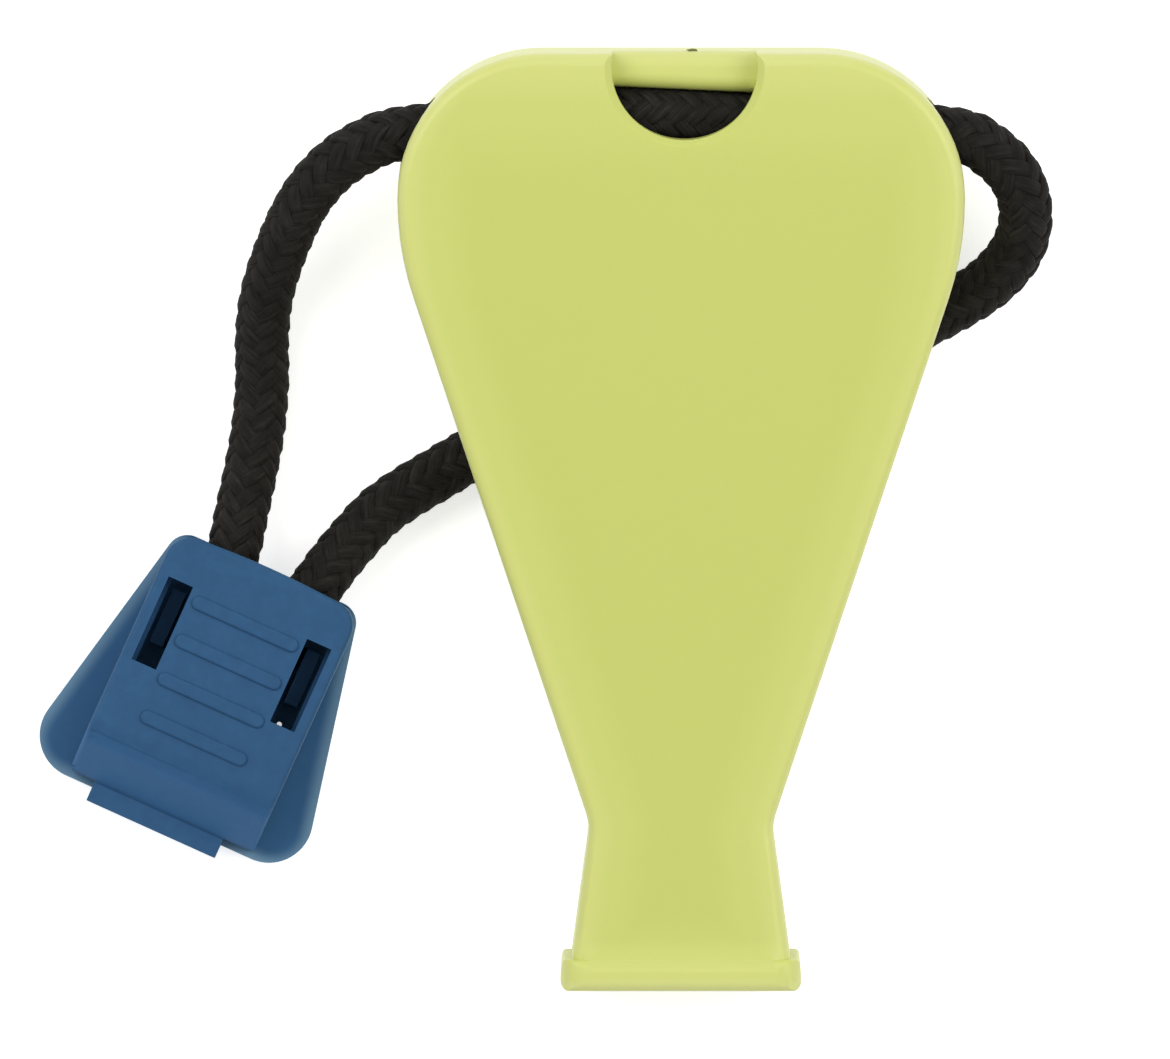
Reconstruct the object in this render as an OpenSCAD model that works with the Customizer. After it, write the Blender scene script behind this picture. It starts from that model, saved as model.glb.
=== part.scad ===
// Flat two-chamber survival whistle with a cord loop and a hinged cord clip.
// The whistle lies face up, mouthpiece towards -Y, propped at its head by the cord.

/* [Whistle body] */
// Length of the whistle along its middle, in mm
body_l = 70.5; // [68:0.5:76]
// Greatest width across the shoulders
body_w = 42.5; // [40:0.5:46]
// Thickness of the flat body
body_t = 8; // [7.6:0.1:9]
// Radius of the two top corners
top_r = 10.8; // [9:0.1:10.8]
// Radius where a shoulder turns into the straight taper
shoulder_r = 23.5; // [20:0.5:27]
// Distance of the widest place below the top edge
wide_below_top = 11; // [11:0.1:11.8]
// Width at the neck, where the taper meets the mouthpiece
neck_w = 13.7; // [13.4:0.1:15]
// Distance of the neck from the mouth end
neck_y = 12.5; // [11.5:0.1:13.5]
// Radius of the hollow at the neck
neck_r = 4; // [2:0.5:6]
// Width of the mouthpiece behind its bead
mouth_w = 16.8; // [16.2:0.1:17.2]
// Radius of the rounding along the face edges
edge_r = 0.9; // [0.5:0.1:1.1]

/* [Mouth bead] */
// Width of the bead across the mouth end
bead_w = 18.1; // [17.6:0.1:19]
// Length of the bead along the whistle
bead_l = 2.4; // [2:0.1:3]
// Height of the bead above each face
bead_out = 0.5; // [0.3:0.1:0.8]

/* [Air ways] */
// Thickness of the front and back walls
wall = 1.2; // [1:0.1:1.3]
// Thickness of the side walls along the taper
side_wall = 1.5; // [1.3:0.1:2]
// Half the width of the hollow inside the mouthpiece
plenum_half = 6; // [5.6:0.1:6.2]
// Depth of the hollow inside the mouthpiece
plenum_l = 9; // [8:0.5:10]
// Half the width across the pair of wind ways
slit_half = 5.5; // [5.1:0.1:5.5]
// Height of the wind ways
slit_h = 1.2; // [0.8:0.1:1.5]
// Where the wind ways end and the windows begin
window_y = 16; // [15.5:0.5:17]
// Length of each sound window
window_l = 3.4; // [3:0.1:3.8]
// Thickness of the web between the two chambers
web_t = 1.4; // [1:0.1:2]
// Length of the longer chamber
long_chamber = 34; // [30:0.5:36]
// Length of the shorter chamber
short_chamber = 30; // [26:0.5:32]
// Slack of the wind way blocks in the trough
block_gap = 0.1; // [0.05:0.01:0.2]

/* [Cord eye] */
// Radius of the notch in the front face
notch_r = 6; // [5.9:0.1:6.3]
// Radius of the hole below the bar
hole_r = 5.5; // [5.3:0.1:5.7]
// Distance of the notch centre below the top edge
notch_down = 1; // [0.8:0.1:1.3]
// Height of the bar, along the whistle
bar_h = 2.75; // [2.5:0.05:2.8]
// Lean of the bar's lower edge, in degrees
bar_lean = 2.6; // [2:0.1:2.8]
// How far the bar's back reaches down behind the cord
bar_lip = 0.5; // [0.4:0.05:0.5]
// Depth of the bar below the front face
bar_sunk = 2.5; // [2:0.1:3]
// Radius of the bar's two front edges
bar_r = 1.2; // [0.6:0.1:1.2]
// Slack round the cord in its crosswise bore
bore_gap = 0.5; // [0.4:0.05:0.6]
// How much the bore drops from the hole to each shoulder
bore_drop = 1.5; // [1.4:0.1:1.6]
// How much each mouth of the bore opens out
bore_flare = 0.8; // [0.4:0.1:0.9]

/* [Cord] */
// Diameter of the braided cord
cord_d = 4; // [3.8:0.1:4]

/* [Clip] */
// Width of the lid across its side walls
lid_w = 15.2; // [14.8:0.1:15.4]
// Distance from the hinge edge to the cord end of the lid
lid_l = 21.7; // [21.2:0.1:22.2]
// Height of the closed clip
clip_h = 7.4; // [7.2:0.1:8.2]
// Wall thickness of the lid
lid_t = 1.2; // [1:0.1:1.3]
// Where the sloping end of the lid meets its flat top
slope_y = 4.8; // [4.6:0.1:5.4]
// Thickness of the base plate
base_t = 1.2; // [1:0.1:1.4]
// Width of the base at its wide end
base_w = 23.5; // [22.6:0.1:24]
// Width of the base at its cord end
base_top_w = 14.8; // [14.4:0.1:15.2]
// Radius of the wide corners of the base
base_r = 3.3; // [2.5:0.1:3.6]
// Width of the hinge strip
strip_w = 10.6; // [10:0.1:11.2]
// Gap under the lid walls when it is shut
lid_gap = 0.3; // [0.2:0.05:0.4]
// Width of a window in the lid
slot_w = 2; // [1.9:0.1:2.2]
// Length of a window in the lid
slot_l = 6.8; // [6.4:0.1:7]
// Distance of each window from the middle of the lid
slot_x = 5.7; // [5.6:0.05:5.8]
// Thickness of a catch post standing below a window
post_t = 1.1; // [0.9:0.1:1.1]
// Height of a catch post above the base plate
post_h = 1.6; // [1.4:0.1:4]
// Radius of the pin hole in the base plate, below one window
pin_hole_r = 0.3; // [0.2:0.05:0.4]
// Height of the grip teeth on the base plate
tooth_h = 0.4; // [0.2:0.1:0.4]
// Length of a grip rib on the lid
rib_l = 7.6; // [7:0.1:8]
// Width of a grip rib
rib_w = 1.1; // [0.9:0.1:1.3]
// Height of a grip rib
rib_h = 0.25; // [0.2:0.05:0.5]
// Spacing of the grip ribs
rib_pitch = 3.13; // [3:0.01:3.2]

/* [Hidden] */
$fn = 72;
e = 0.01;
lime = [0.80, 0.83, 0.46];
blue = [0.22, 0.36, 0.50];
black = [0.14, 0.13, 0.12];

// Heights inside the body, measured from the back of the bead
z_back = bead_out;
z_split = bead_out + body_t / 2;
z_front = bead_out + body_t;
bead_t = body_t + 2 * bead_out;
z_floor = z_back + wall;
z_roof = z_front - wall;
slit_top = z_floor + slit_h;
window_end = window_y + window_l;
wide_y = body_l - wide_below_top;
notch_y = body_l - notch_down;
bar_bottom = body_l - 0.15 - bar_h;
bar_top = z_front - bar_sunk;
notch_x = 0.25;
bore_r = cord_d / 2 + bore_gap;
bore_y = body_l - 4.6;
bore_mouth = body_w / 2 - 2.1;

// The head is propped by the cord that passes under it
prop_y = 39.7;
tilt = asin((cord_d + 0.05 - bead_out) / prop_y);
place_y = -(body_l * cos(tilt) - bead_t * sin(tilt)) / 2;

// Lean of the straight taper, and the corner that the shoulder arc rounds off
taper_x = (body_w - neck_w) / 2;
lean_guess = atan(taper_x / (wide_y - neck_y));
lean = atan(taper_x / (wide_y - shoulder_r * tan(lean_guess / 2) - neck_y));
kink_y = wide_y - shoulder_r * tan(lean / 2);

// Corners of the whistle's outline, counterclockwise from inside the bead
outline = [
    [-mouth_w / 2, 1], [mouth_w / 2, 1], [neck_w / 2, neck_y], [body_w / 2, kink_y],
    [body_w / 2, body_l], [-body_w / 2, body_l], [-body_w / 2, kink_y], [-neck_w / 2, neck_y]
];
outline_r = [0, 0, neck_r, shoulder_r, top_r, top_r, shoulder_r, neck_r];

// Chamber sides follow the taper at the side wall's thickness
slope_x = taper_x / (kink_y - neck_y);
function inner_x(y) = neck_w / 2 - side_wall * sqrt(1 + slope_x * slope_x) + slope_x * (y - neck_y);

// Clip place and heights
clip_at = [-39.72, -23.43];
clip_turn = 24.3;
strip_x = -0.2;
base_x = -0.05;
slot_mid = 14.55;

// Route of the cord, from one end inside the clip to the other
route = [
    [-38.3, -14.3, 3.6], [-36.0, -9.3, 3.6], [-34.6, -5.6, 3.6], [-33.6, -2.3, 3.6],
    [-33.0, 0.6, 3.1], [-32.4, 3.4, 2.5], [-31.8, 6.8, 2.1], [-31.5, 10.3, 2.1],
    [-31.5, 13.8, 2.4], [-31.1, 17.0, 3.4], [-29.9, 20.6, 5.1], [-28.2, 24.0, 7.2],
    [-26.0, 26.5, 8.8], [-23.4, 28.1, 9.8], [-20.8, 28.9, 10.2], [-13.0, 29.7, 10.3],
    [-5.0, 30.3, 10.3], [5.0, 29.9, 10.3], [13.0, 29.4, 10.3], [20.6, 28.8, 10.2],
    [22.9, 27.8, 9.9], [24.7, 26.2, 9.3], [25.7, 24.2, 8.3], [25.8, 21.9, 7.0],
    [25.0, 19.8, 5.6], [23.2, 17.8, 4.2], [20.6, 16.1, 3.1], [16.7, 14.1, 2.3],
    [12.5, 12.3, 2.1], [8.0, 10.9, 2.1], [3.0, 10.0, 2.1], [-2.0, 9.2, 2.1],
    [-7.0, 8.2, 2.1], [-11.5, 6.8, 2.1], [-15.8, 4.8, 2.0], [-18.4, 3.3, 2.1],
    [-20.6, 2.0, 2.1], [-22.7, 0.5, 2.1], [-24.4, -1.3, 2.4], [-26.0, -3.2, 3.0],
    [-27.4, -5.1, 3.6], [-29.6, -7.8, 3.6], [-31.5, -11.3, 3.6], [-33.8, -16.3, 3.6]
];

// Rounded polygon: corner i of p is rounded by r[i], exact arcs at outer and inner corners
function unit(v) = v / norm(v);
function wrap(p, i) = p[(i + len(p)) % len(p)];
function dir_in(p, i) = unit(p[i] - wrap(p, i - 1));
function dir_out(p, i) = unit(wrap(p, i + 1) - p[i]);
function turn(p, i) = dir_in(p, i).x * dir_out(p, i).y - dir_in(p, i).y * dir_out(p, i).x;
function sharp(p, i) = acos(min(1, dir_in(p, i) * dir_out(p, i)));
function cut_back(p, r, i) = r[i] * tan(sharp(p, i) / 2);
function arc_from(p, r, i) = p[i] - dir_in(p, i) * cut_back(p, r, i);
function arc_to(p, r, i) = p[i] + dir_out(p, i) * cut_back(p, r, i);
function arc_mid(p, r, i) =
    arc_from(p, r, i) + [-dir_in(p, i).y, dir_in(p, i).x] * r[i] * sign(turn(p, i));

module rounded(p, r) {
    union() {
        polygon([for (i = [0 : len(p) - 1])
            each r[i] > 0 && turn(p, i) > 0 ? [arc_from(p, r, i), arc_to(p, r, i)] : [p[i]]]);
        for (i = [0 : len(p) - 1]) if (r[i] > 0) {
            a = arc_from(p, r, i);
            b = arc_to(p, r, i);
            c = arc_mid(p, r, i);
            far = [for (q = [a, p[i], b]) q + (q - c) * 0.3];
            if (turn(p, i) > 0) intersection() {
                polygon([c, far[0], far[1], far[2]]);
                translate(c) circle(r = r[i]);
            }
            else difference() {
                polygon([a, b, far[2], far[1], far[0]]);
                translate(c) circle(r = r[i]);
            }
        }
    }
}

// The outline as points [x, y, nx, ny], each with its outward normal, drawn in by d
steps = 14;
function arc_points(p, r, i) = let (c = arc_mid(p, r, i), side = sign(turn(p, i)),
        v = arc_from(p, r, i) - c, n = max(3, round(steps * sharp(p, i) / 90)) + 2)
    [for (k = [0 : n]) let (t = side * sharp(p, i) * k / n,
            w = [v.x * cos(t) - v.y * sin(t), v.x * sin(t) + v.y * cos(t)])
        [c.x + w.x, c.y + w.y, side * w.x / r[i], side * w.y / r[i]]];
function half_points(p, r) = concat(
    [[p[1].x, p[1].y, dir_out(p, 1).y, -dir_out(p, 1).x]],
    [for (i = [2 : 4]) each arc_points(p, r, i)]);
function drawn_in(p, r, d) = let (h = half_points(p, r), m = len(h))
    [for (k = [0 : 2 * m - 1]) let (q = h[k < m ? k : 2 * m - 1 - k], s = k < m ? 1 : -1)
        [s * (q[0] - d * q[2]), q[1] - d * q[3]]];

// The flat body, its edges rounded by edge_r: rings of [drawn in, height]
crown = [for (a = [0 : 22.5 : 90]) [edge_r * (1 - cos(a)), body_t - edge_r * (1 - sin(a))]];
module plate() {
    rings = concat([for (k = [4 : -1 : 0]) [crown[k][0], body_t - crown[k][1]]], crown);
    points = [for (g = rings) each [for (q = drawn_in(outline, outline_r, g[0])) [q.x, q.y, g[1]]]];
    n = len(points) / len(rings);
    last = (len(rings) - 1) * n;
    translate([0, 0, z_back]) polyhedron(points = points, faces = concat(
        [for (k = [0 : n / 2 - 2]) [k, k + 1, n - 2 - k, n - 1 - k]],
        [for (g = [0 : len(rings) - 2]) for (k = [0 : n - 1])
            [g * n + k, (g + 1) * n + k, (g + 1) * n + (k + 1) % n, g * n + (k + 1) % n]],
        [for (k = [0 : n / 2 - 2]) [last + n - 1 - k, last + n - 2 - k, last + k + 1, last + k]]));
}

// Puts whistle coordinates into the shared frame
module lay_whistle() {
    translate([0, place_y, 0]) rotate([tilt, 0, 0]) children();
}

// Bead across the mouth end, rounded in all three views
module bead() {
    intersection() {
        translate([-bead_w / 2, 0, 0]) linear_extrude(bead_t)
            rounded([[0, 0], [bead_w, 0], [bead_w, bead_l], [0, bead_l]], [0.75, 0.75, 0.5, 0.5]);
        translate([0, bead_l + 1, 0]) rotate([90, 0, 0]) linear_extrude(bead_l + 2)
            rounded([[-bead_w / 2, 0], [bead_w / 2, 0], [bead_w / 2, bead_t], [-bead_w / 2, bead_t]],
                [1.6, 1.6, 1.6, 1.6]);
        translate([-bead_w / 2 - 1, 0, 0]) rotate([90, 0, 90]) linear_extrude(bead_w + 2)
            rounded([[0, 0], [bead_l, 0], [bead_l, bead_t], [0, bead_t]], [0.75, 0.6, 0.6, 0.75]);
    }
}

// One half of the outer form, cut at the split; side is 1 in front and -1 at the back
module half_form(side) {
    intersection() {
        union() {
            plate();
            bead();
        }
        translate([-body_w, -1, side > 0 ? z_split : z_split - body_t])
            cube([2 * body_w, body_l + 2, body_t]);
    }
}

// Crosswise bore for the cord: two straight runs that meet in the hole, each mouth opened out
module cord_bore() {
    for (s = [0, 1]) mirror([s, 0, 0]) intersection() {
        translate([0, bore_y, z_split]) rotate([0, 0, -atan(bore_drop / bore_mouth)])
            rotate([0, 90, 0]) {
                translate([0, 0, -2]) cylinder(h = bore_mouth + 9, r = bore_r);
                translate([0, 0, bore_mouth]) cylinder(h = 3, r1 = bore_r, r2 = bore_r + bore_flare);
            }
        cube([body_w, body_l + 5, bead_t]);
    }
}

// Hollow of one chamber between two heights, on the +X or the -X side
module chamber(side, l, z0, z1) {
    y1 = window_y + l;
    translate([0, 0, z0]) linear_extrude(z1 - z0) mirror([side < 0 ? 1 : 0, 0, 0])
        polygon([[web_t / 2, window_y], [inner_x(window_y), window_y], [inner_x(y1), y1], [web_t / 2, y1]]);
}

module chambers(z0, z1) {
    chamber(-1, long_chamber, z0, z1);
    chamber(1, short_chamber, z0, z1);
}

module plenum(z0, z1) {
    translate([-plenum_half, -1, z0]) cube([2 * plenum_half, plenum_l + 1, z1 - z0]);
}

// Hole of the eye, its front rim broken all round
module eye_cut() {
    translate([notch_x, notch_y, -1]) cylinder(h = bead_t + 1, r = hole_r);
    translate([notch_x, notch_y, z_front - (notch_r - hole_r)])
        cylinder(h = notch_r - hole_r, r1 = hole_r, r2 = notch_r);
    translate([notch_x, notch_y, z_front - e]) cylinder(h = 1, r = notch_r);
}

// Puts a shape drawn above the x axis onto the bar's leaning lower edge
module on_bar_edge() {
    translate([notch_x, bar_bottom, 0]) rotate([0, 0, -bar_lean]) children();
}

module above_bar() {
    on_bar_edge() translate([-hole_r - 2, 0, -2]) cube([2 * hole_r + 4, 12, bead_t + 4]);
}

// Front of the bar: its upper edge runs straight across, its lower one leans
module bar_front() {
    w = 2 * hole_r + 4;
    intersection() {
        translate([-w / 2, 0, 0]) rotate([90, 0, 90]) linear_extrude(w)
            rounded([[bar_bottom - 2, z_back + 1], [body_l, z_back + 1], [body_l, bar_top],
                [bar_bottom - 2, bar_top]], [0, 0, bar_r, 0]);
        on_bar_edge() translate([-w / 2, 0, 0]) rotate([90, 0, 90]) linear_extrude(w)
            rounded([[0, z_back + 1], [bar_h + 2, z_back + 1], [bar_h + 2, bar_top], [0, bar_top]],
                [0, 0, 0, bar_r]);
        translate([notch_x, notch_y, z_split]) cylinder(h = body_t, r = hole_r + 0.1);
    }
}

// Front half: chamber roofs, wind way blocks, the notch and the front of the bar
module whistle_front() color(lime) lay_whistle() {
    difference() {
        half_form(1);
        plenum(z_split - 1, z_roof);
        chambers(z_split - 1, z_roof);
        eye_cut();
        cord_bore();
    }
    bar_front();
    for (s = [-1, 1])
        translate([s > 0 ? web_t / 2 + block_gap : -slit_half + block_gap, plenum_l + block_gap, slit_top])
            cube([slit_half - web_t / 2 - 2 * block_gap, window_y - plenum_l - block_gap,
                z_split - slit_top + 0.5]);
}

// Window cuts through the back wall with the ramp of each sounding lip
module window_cuts() {
    for (s = [-1, 1]) translate([s > 0 ? web_t / 2 + 0.2 : -slit_half, 0, 0])
        rotate([90, 0, 90]) linear_extrude(slit_half - web_t / 2 - 0.2)
            polygon([[window_y, -1], [window_y, z_floor + 1], [window_end, z_floor + 1],
                [window_end, z_floor + 0.3], [window_end + 4.6, z_back], [window_end + 4.6, -1]]);
}

// Back half: back of the bar, through hole, wind way floor, windows and sounding lips
module whistle_back() color(lime) lay_whistle() {
    difference() {
        union() {
            difference() {
                half_form(-1);
                plenum(z_floor, z_split + 1);
                chambers(z_floor, z_split + 1);
                for (s = [0, 1]) mirror([s, 0, 0])
                    translate([web_t / 2, plenum_l - e, z_floor])
                        cube([slit_half - web_t / 2, window_y - plenum_l + 2 * e, body_t]);
            }
            for (s = [0, 1]) mirror([s, 0, 0])
                translate([web_t / 2, 0, 0]) rotate([90, 0, 90])
                    linear_extrude(slit_half - web_t / 2)
                        polygon([[window_end, z_floor - 0.2], [window_end, z_floor + 0.6],
                            [window_end + 5.5, z_floor], [window_end + 5.5, z_floor - 0.2]]);
        }
        window_cuts();
        difference() {
            eye_cut();
            above_bar();
        }
        difference() {
            cord_bore();
            intersection() {
                above_bar();
                translate([notch_x, notch_y, -2]) cylinder(h = bead_t, r = hole_r);
            }
        }
    }
    intersection() {
        on_bar_edge() translate([-hole_r - 1, -bar_lip, z_back])
            cube([2 * hole_r + 2, bar_lip + 0.3, 2.2]);
        translate([notch_x, notch_y, 0]) cylinder(h = z_split, r = hole_r + 0.1);
    }
}

// Tube of the cord: one ring of points at each place on the route
cord_sides = 12;
function route_dir(i) =
    unit(route[min(i + 1, len(route) - 1)] - route[max(i - 1, 0)]);
function ring(i) = let (d = route_dir(i), s = unit(cross(d, [0, 0, 1])), u = cross(s, d))
    [for (k = [0 : cord_sides - 1]) let (t = 360 * k / cord_sides)
        route[i] + (s * cos(t) + u * sin(t)) * cord_d / 2];

module cord() color(black) {
    n = cord_sides;
    m = len(route);
    polyhedron(
        points = [for (i = [0 : m - 1]) each ring(i)],
        faces = concat(
            [[for (k = [0 : n - 1]) n - 1 - k]],
            [for (i = [0 : m - 2]) for (k = [0 : n - 1]) each [
                [i * n + k, i * n + (k + 1) % n, (i + 1) * n + k],
                [i * n + (k + 1) % n, (i + 1) * n + (k + 1) % n, (i + 1) * n + k]]],
            [[for (k = [0 : n - 1]) (m - 1) * n + k]]
        )
    );
}

// Puts clip coordinates into the shared frame: x across, y towards the cord
module lay_clip() {
    translate([clip_at.x, clip_at.y, 0]) rotate([0, 0, -clip_turn]) children();
}

// A bar of stadium shape lying along x, on the lid
module grip_rib(y) {
    translate([0, y, clip_h - 0.2]) linear_extrude(rib_h + 0.2) {
        square([rib_l, rib_w], center = true);
        for (s = [-1, 1]) translate([s * rib_l / 2, 0]) circle(d = rib_w, $fn = 32);
    }
}

// Lid: a shell with a sloping end, open towards the base and the cord
module clip_lid() color(blue) lay_clip() {
    half = lid_w / 2;
    steep = (clip_h - 2.6) / (slope_y - 1.5);
    drop = lid_t * sqrt(1 + steep * steep);
    low = base_t + lid_gap;
    difference() {
        intersection() {
            translate([-half, 0, 0]) rotate([90, 0, 90]) linear_extrude(lid_w)
                polygon([[0, low], [lid_l + 1, low], [lid_l + 1, clip_h], [slope_y, clip_h],
                    [1.5, 2.6], [0, 2.6]]);
            linear_extrude(clip_h + 1)
                rounded([[strip_x - strip_w / 2, -1], [strip_x + strip_w / 2, -1],
                    [strip_x + strip_w / 2, 1.6], [half, 1.6],
                    [half, lid_l - 0.35], [0, lid_l], [-half, lid_l - 0.35],
                    [-half, 1.6], [strip_x - strip_w / 2, 1.6]],
                    [0, 0, 0, 0.4, 2, 60, 2, 0.4, 0]);
        }
        translate([-half + lid_t, 0, 0]) rotate([90, 0, 90]) linear_extrude(lid_w - 2 * lid_t)
            polygon([[1.5 + (drop - 2.6 + low - 1) / steep, low - 1], [lid_l + 2, low - 1],
                [lid_l + 2, clip_h - lid_t], [slope_y + (drop - lid_t) / steep, clip_h - lid_t]]);
        for (s = [-1, 1]) translate([s * slot_x - slot_w / 2, slot_mid - slot_l / 2, clip_h - 3])
            cube([slot_w, slot_l, 4]);
    }
    for (k = [0 : 3]) grip_rib(7.65 + k * rib_pitch);
    for (y = [12.3, 15.3, 18.3]) translate([-4.5, y, clip_h - lid_t - 0.25]) cube([9, 0.6, 0.5]);
}

// Base: plate with hinge lip, grip teeth, side rails and the two catch posts
module clip_base() color(blue) lay_clip() {
    top = lid_l - 0.25;
    difference() {
        union() {
            translate([base_x, 0, 0]) linear_extrude(base_t)
                rounded([[-base_w / 2, 1.05], [base_w / 2, 1.05], [base_top_w / 2, top],
                    [-base_top_w / 2, top]], [base_r, base_r, 1.6, 1.6]);
            translate([strip_x - strip_w / 2, 0, 0]) cube([strip_w, 1.5, base_t]);
        }
        translate([slot_x - 0.25, slot_mid - slot_l / 2 + 0.2, -1])
            cylinder(h = base_t + 2, r = pin_hole_r, $fn = 32);
    }
    for (s = [0, 1]) mirror([s, 0, 0]) {
        translate([slot_x - 0.7, slot_mid - 1.7, base_t - 0.2]) cube([post_t, 4.4, post_h + 0.2]);
        translate([slot_x - 0.6, slope_y, base_t - 0.2]) cube([0.8, 4.6, 1.4]);
    }
    for (y = [10.8, 13.8, 16.8, 19.8])
        translate([-4.6, y, base_t - 0.2]) cube([9.2, 0.6, tooth_h + 0.2]);
}

whistle_front();
whistle_back();
cord();
clip_base();
clip_lid();
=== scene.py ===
import math

import bmesh
import bpy
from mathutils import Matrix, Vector


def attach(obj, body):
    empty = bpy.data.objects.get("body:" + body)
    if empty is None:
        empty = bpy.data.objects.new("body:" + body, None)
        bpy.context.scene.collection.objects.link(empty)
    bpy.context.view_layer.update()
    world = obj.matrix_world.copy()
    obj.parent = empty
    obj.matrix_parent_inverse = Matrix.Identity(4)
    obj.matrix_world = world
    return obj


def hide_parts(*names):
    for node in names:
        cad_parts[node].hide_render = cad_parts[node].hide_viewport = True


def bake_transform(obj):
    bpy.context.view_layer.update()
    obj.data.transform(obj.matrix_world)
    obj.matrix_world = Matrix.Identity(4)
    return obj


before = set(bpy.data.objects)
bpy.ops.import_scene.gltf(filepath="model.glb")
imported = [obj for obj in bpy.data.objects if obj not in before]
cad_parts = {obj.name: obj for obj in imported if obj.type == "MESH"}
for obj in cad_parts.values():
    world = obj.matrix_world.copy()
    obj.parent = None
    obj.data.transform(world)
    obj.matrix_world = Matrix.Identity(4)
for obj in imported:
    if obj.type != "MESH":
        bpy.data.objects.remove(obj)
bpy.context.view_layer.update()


# Small helpers

mm = 0.001   # the frame is in metres


def linearOf(hexColour):
    # sRGB hex to the linear colour that shader sockets take
    parts = [int(hexColour[i:i + 2], 16) / 255 for i in (1, 3, 5)]
    return tuple(c / 12.92 if c <= 0.04045 else ((c + 0.055) / 1.055) ** 2.4 for c in parts) + (1.0,)


def perMetre(size):
    # the scale of a noise whose grain is size mm wide
    return 1000 / size


def addNode(tree, kind, settings=None, links=None):
    # links: input name or index -> a value, a node (its first output) or (node, output name or index)
    node = tree.nodes.new(kind)
    for name, value in (settings or {}).items():
        setattr(node, name, value)
    for name, value in (links or {}).items():
        source = value if isinstance(value, tuple) else (value, 0)
        if isinstance(source[0], bpy.types.Node):
            tree.links.new(source[0].outputs[source[1]], node.inputs[name])
        else:
            node.inputs[name].default_value = value
    return node


def newMaterial(name):
    material = bpy.data.materials.new(name)
    material.use_nodes = True
    material.node_tree.nodes.clear()
    return material, material.node_tree


def plainMesh(source, name):
    # freezes what the modifiers make into a mesh of its own
    bpy.context.view_layer.update()
    graph = bpy.context.evaluated_depsgraph_get()
    mesh = bpy.data.meshes.new_from_object(source.evaluated_get(graph), preserve_all_data_layers=True,
                                           depsgraph=graph)
    mesh.name = name
    return mesh


def addObject(name, data):
    piece = bpy.data.objects.new(name, data)
    bpy.context.scene.collection.objects.link(piece)
    return piece


# Camera, floor and light: straight down over the whistle, as the photo was taken

view = {
    "middle": (-0.0072, -0.0008),   # m
    "height": 2.0,
    "focusHeight": 0.009,
    "fieldWidth": 0.08775,
    "sensor": 36,                   # mm
}


def placeCamera():
    camera = addObject("camera", bpy.data.cameras.new("camera"))
    camera.data.sensor_fit = "HORIZONTAL"
    camera.data.sensor_width = view["sensor"]
    camera.data.lens = view["sensor"] * (view["height"] - view["focusHeight"]) / view["fieldWidth"]
    camera.data.clip_start = 0.01
    camera.location = (*view["middle"], view["height"])
    bpy.context.scene.camera = camera
    bpy.context.scene.view_settings.view_transform = "Standard"


placeCamera()
print("camera placed")

light = {
    "skyStrength": 0.46,
    "lamps": [
        {"name": "softboxLeft", "at": (-0.42, 0.30, 0.62), "size": 0.55, "watts": 2.4},
        {"name": "softboxRight", "at": (0.46, 0.12, 0.60), "size": 0.55, "watts": 2.1},
    ],
    "floorColour": "#F4F4F4",
    "floorLift": 0.62,     # glow that shows the card as white without lighting the whistle
    "floorHalf": 1.5,      # m
    "floorTop": -0.00002,
}


def shownShare(tree):
    # 1 for the rays that see the background, else 0
    path = addNode(tree, "ShaderNodeLightPath")
    total = (path, "Is Camera Ray")
    for kind in ("Is Glossy Ray", "Is Transmission Ray"):
        total = addNode(tree, "ShaderNodeMath", {"operation": "MAXIMUM"}, {0: total, 1: (path, kind)})
    return total


def makeSky():
    world = bpy.data.worlds.new("studio")
    bpy.context.scene.world = world
    world.use_nodes = True
    tree = world.node_tree
    tree.nodes.clear()
    strength = addNode(tree, "ShaderNodeMapRange", None,
                       {"Value": shownShare(tree), "To Min": light["skyStrength"], "To Max": 1.0})
    sky = addNode(tree, "ShaderNodeBackground", None, {"Color": (1, 1, 1, 1), "Strength": strength})
    addNode(tree, "ShaderNodeOutputWorld", None, {"Surface": sky})


def hangLamps():
    for facts in light["lamps"]:
        lamp = addObject(facts["name"], bpy.data.lights.new(facts["name"], "AREA"))
        lamp.data.shape = "DISK"
        lamp.data.size = facts["size"]
        lamp.data.energy = facts["watts"]
        lamp.location = facts["at"]
        lamp.rotation_euler = (-Vector(facts["at"])).to_track_quat("-Z", "Y").to_euler()


def layFloor():
    # matt white studio card: shows as white, and keeps the shadow
    material, tree = newMaterial("studioCard")
    lift = addNode(tree, "ShaderNodeMath", {"operation": "MULTIPLY"},
                   {0: shownShare(tree), 1: light["floorLift"]})
    card = addNode(tree, "ShaderNodeBsdfDiffuse", None, {"Color": linearOf(light["floorColour"])})
    glow = addNode(tree, "ShaderNodeEmission", None, {"Color": (1, 1, 1, 1), "Strength": lift})
    both = addNode(tree, "ShaderNodeAddShader", None, {0: card, 1: glow})
    addNode(tree, "ShaderNodeOutputMaterial", None, {"Surface": both})

    mesh = bpy.data.meshes.new("floor")
    half = light["floorHalf"]
    corners = [(-half, -half, 0), (half, -half, 0), (half, half, 0), (-half, half, 0)]
    mesh.from_pydata(corners, [], [(0, 1, 2, 3)])
    mesh.materials.append(material)
    floor = addObject("floor", mesh)
    floor.location.z = light["floorTop"]


makeSky()
hangLamps()
layFloor()
print("light and floor set")


# The cord: sixteen yarns braided two over two under round a core

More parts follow.
